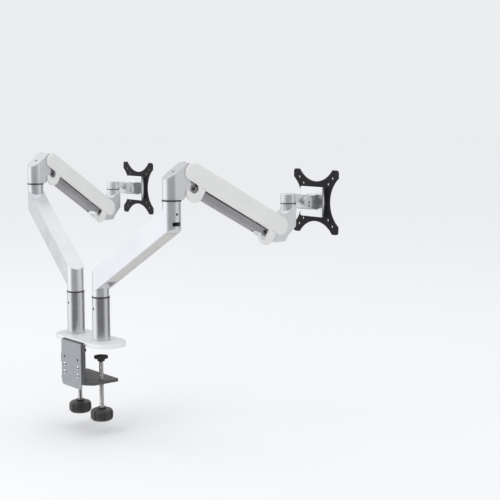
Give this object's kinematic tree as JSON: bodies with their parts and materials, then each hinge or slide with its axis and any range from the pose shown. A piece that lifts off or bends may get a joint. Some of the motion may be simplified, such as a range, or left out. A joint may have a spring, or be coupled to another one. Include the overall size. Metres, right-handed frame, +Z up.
{
  "type": "dual monitor arm",
  "caption": "Desk-clamped mount with a pair of gas-spring arms, each a round post, an inclined lower arm, a level-keeping spring arm and a tilting, turning square screen plate.",
  "frame": {"origin": "centre of the base's underside, on the desk top, midway between the two posts", "axes": "+Z up, +X along the desk's back edge from the left post to the right post, +Y from the back edge towards the user"},
  "size_m": [0.8624, 0.4477, 0.5635],
  "materials": {
    "cover_white": "satin",
    "satin_aluminium": "satin",
    "arm_silver": "satin",
    "cover_grey": "matte",
    "shell_grey": "matte",
    "link_grey": "satin",
    "zinc_plate": "zinc plated",
    "black_steel": "powder coat",
    "black_plastic": "matte",
    "black_rubber": "matte",
    "bright_steel": "bright",
    "dark_steel": "oxide",
    "box_silver": "polished"
  },
  "bodies": {
    "base": {"base_cover": "cover_white", "base_plate": "black_steel", "base_pad": "black_rubber", "clamp_bracket": "black_steel", "rear_bracket": "zinc_plate", "bracket_screws": "bright_steel", "post_screws": "dark_steel", "left_post": "satin_aluminium", "right_post": "satin_aluminium"},
    "right_lower": {"right_post_washer": "black_plastic", "right_lower_arm": "arm_silver", "right_arm_screw": "dark_steel", "right_cable_cover": "cover_grey"},
    "right_elbow": {"right_elbow_washer": "black_plastic", "right_elbow_bracket": "satin_aluminium", "right_rear_pins": "dark_steel"},
    "right_tension": {"right_tension_screw": "dark_steel"},
    "right_spring_arm": {"right_upper_shell": "shell_grey", "right_spring_tube": "dark_steel"},
    "right_rod": {"right_spring_rod": "bright_steel"},
    "right_link": {"right_lower_link": "link_grey"},
    "right_front": {"right_front_bracket": "satin_aluminium", "right_front_pins": "dark_steel"},
    "right_pan": {"right_pan_washer": "black_plastic", "right_pan_head": "satin_aluminium"},
    "right_tilt": {"right_tilt_block": "satin_aluminium", "right_tilt_cap": "satin_aluminium"},
    "right_head": {"right_mount_box": "box_silver", "right_vesa_plate": "black_steel", "right_plate_screws": "bright_steel"},
    "right_clamp_slide": {"right_clamp_pad": "black_rubber"},
    "right_clamp_turn": {"right_clamp_screw": "bright_steel", "right_clamp_knob": "black_plastic"},
    "left_lower": {"left_post_washer": "black_plastic", "left_lower_arm": "arm_silver", "left_arm_screw": "dark_steel", "left_cable_cover": "cover_grey"},
    "left_elbow": {"left_elbow_washer": "black_plastic", "left_elbow_bracket": "satin_aluminium", "left_rear_pins": "dark_steel"},
    "left_tension": {"left_tension_screw": "dark_steel"},
    "left_spring_arm": {"left_upper_shell": "shell_grey", "left_spring_tube": "dark_steel"},
    "left_rod": {"left_spring_rod": "bright_steel"},
    "left_link": {"left_lower_link": "link_grey"},
    "left_front": {"left_front_bracket": "satin_aluminium", "left_front_pins": "dark_steel"},
    "left_pan": {"left_pan_washer": "black_plastic", "left_pan_head": "satin_aluminium"},
    "left_tilt": {"left_tilt_block": "satin_aluminium", "left_tilt_cap": "satin_aluminium"},
    "left_head": {"left_mount_box": "box_silver", "left_vesa_plate": "black_steel", "left_plate_screws": "bright_steel"},
    "left_clamp_slide": {"left_clamp_pad": "black_rubber"},
    "left_clamp_turn": {"left_clamp_screw": "bright_steel", "left_clamp_knob": "black_plastic"}
  },
  "joints": [
    {"name": "right_base_swivel", "type": "hinge", "parent": "base", "child": "right_lower", "pos_m": [0.051, 0, 0.103], "axis": [0, 0, 1], "range_deg": [-60, 75]},
    {"name": "right_elbow_swivel", "type": "hinge", "parent": "right_lower", "child": "right_elbow", "pos_m": [0.31891, -0.00702, 0.325], "axis": [0, 0, 1], "range_deg": [-214.7, 45.3]},
    {"name": "right_tension_turn", "type": "hinge", "parent": "right_elbow", "child": "right_tension", "pos_m": [0.31929, -0.00377, 0.38015], "axis": [-0.0672, -0.5633, 0.8235], "range_deg": [-180, 180]},
    {"name": "right_lift", "type": "hinge", "parent": "right_elbow", "child": "right_spring_arm", "pos_m": [0.32353, 0.03171, 0.378], "axis": [0.993, -0.1184, 0], "range_deg": [-10.8, 39.2]},
    {"name": "right_link_follow", "type": "hinge", "parent": "right_elbow", "child": "right_link", "pos_m": [0.32353, 0.03171, 0.347], "axis": [0.993, -0.1184, 0], "range_deg": [-11.8, 40.2]},
    {"name": "right_rod_slide", "type": "slide", "parent": "right_spring_arm", "child": "right_rod", "axis": [-0.1075, -0.9013, 0.4198], "range_m": [-0.0036, 0.0122]},
    {"name": "right_front_level", "type": "hinge", "parent": "right_spring_arm", "child": "right_front", "pos_m": [0.34316, 0.1964, 0.28531], "axis": [0.993, -0.1184, 0], "range_deg": [-40.2, 11.8]},
    {"name": "right_head_pan", "type": "hinge", "parent": "right_front", "child": "right_pan", "pos_m": [0.35145, 0.26591, 0.30781], "axis": [0, 0, 1], "range_deg": [-91.8, 78.2]},
    {"name": "right_head_tilt", "type": "hinge", "parent": "right_pan", "child": "right_tilt", "pos_m": [0.35145, 0.30791, 0.30781], "axis": [1, 0, 0], "range_deg": [-30, 45]},
    {"name": "right_head_turn", "type": "hinge", "parent": "right_tilt", "child": "right_head", "pos_m": [0.35145, 0.30791, 0.30781], "axis": [0, 1, 0], "range_deg": [-90, 90]},
    {"name": "right_clamp_travel", "type": "slide", "parent": "base", "child": "right_clamp_slide", "axis": [0, 0, 1], "range_m": [-0.025, 0.012]},
    {"name": "right_clamp_screw_turn", "type": "hinge", "parent": "right_clamp_slide", "child": "right_clamp_turn", "pos_m": [0.051, -0.002, -0.05], "axis": [0, 0, 1], "range_deg": [-3010, 1450]},
    {"name": "left_base_swivel", "type": "hinge", "parent": "base", "child": "left_lower", "pos_m": [-0.051, 0, 0.103], "axis": [0, 0, 1], "range_deg": [-75, 60]},
    {"name": "left_elbow_swivel", "type": "hinge", "parent": "left_lower", "child": "left_elbow", "pos_m": [-0.31362, 0.05343, 0.325], "axis": [0, 0, 1], "range_deg": [-65.1, 194.9]},
    {"name": "left_tension_turn", "type": "hinge", "parent": "left_elbow", "child": "left_tension", "pos_m": [-0.31439, 0.0566, 0.38015], "axis": [0.1334, -0.5514, 0.8235], "range_deg": [-180, 180]},
    {"name": "left_lift", "type": "hinge", "parent": "left_elbow", "child": "left_spring_arm", "pos_m": [-0.32279, 0.09134, 0.378], "axis": [0.972, 0.2351, 0], "range_deg": [-7.4, 42.6]},
    {"name": "left_link_follow", "type": "hinge", "parent": "left_elbow", "child": "left_link", "pos_m": [-0.32279, 0.09134, 0.347], "axis": [0.972, 0.2351, 0], "range_deg": [-8.4, 43.6]},
    {"name": "left_rod_slide", "type": "slide", "parent": "left_spring_arm", "child": "left_rod", "axis": [0.2069, -0.8552, 0.4752], "range_m": [-0.0036, 0.0122]},
    {"name": "left_front_level", "type": "hinge", "parent": "left_spring_arm", "child": "left_front", "pos_m": [-0.36043, 0.24691, 0.27563], "axis": [0.972, 0.2351, 0], "range_deg": [-43.6, 8.4]},
    {"name": "left_head_pan", "type": "hinge", "parent": "left_front", "child": "left_pan", "pos_m": [-0.37689, 0.31495, 0.29813], "axis": [0, 0, 1], "range_deg": [-71.4, 98.6]},
    {"name": "left_head_tilt", "type": "hinge", "parent": "left_pan", "child": "left_tilt", "pos_m": [-0.37689, 0.35695, 0.29813], "axis": [1, 0, 0], "range_deg": [-30, 45]},
    {"name": "left_head_turn", "type": "hinge", "parent": "left_tilt", "child": "left_head", "pos_m": [-0.37689, 0.35695, 0.29813], "axis": [0, 1, 0], "range_deg": [-90, 90]},
    {"name": "left_clamp_travel", "type": "slide", "parent": "base", "child": "left_clamp_slide", "axis": [0, 0, 1], "range_m": [-0.025, 0.012]},
    {"name": "left_clamp_screw_turn", "type": "hinge", "parent": "left_clamp_slide", "child": "left_clamp_turn", "pos_m": [-0.037, -0.002, -0.05], "axis": [0, 0, 1], "range_deg": [-3010, 1450]}
  ],
  "couplings": [
    {"joint": "right_link_follow", "follows": "right_lift", "ratio": 1},
    {"joint": "right_rod_slide", "follows": "right_lift", "m_per_rad": 0.01545},
    {"joint": "right_front_level", "follows": "right_lift", "ratio": -1},
    {"joint": "right_clamp_screw_turn", "follows": "right_clamp_travel", "rad_per_m": 2094.4},
    {"joint": "left_link_follow", "follows": "left_lift", "ratio": 1},
    {"joint": "left_rod_slide", "follows": "left_lift", "m_per_rad": 0.01545},
    {"joint": "left_front_level", "follows": "left_lift", "ratio": -1},
    {"joint": "left_clamp_screw_turn", "follows": "left_clamp_travel", "rad_per_m": 2094.4}
  ]
}
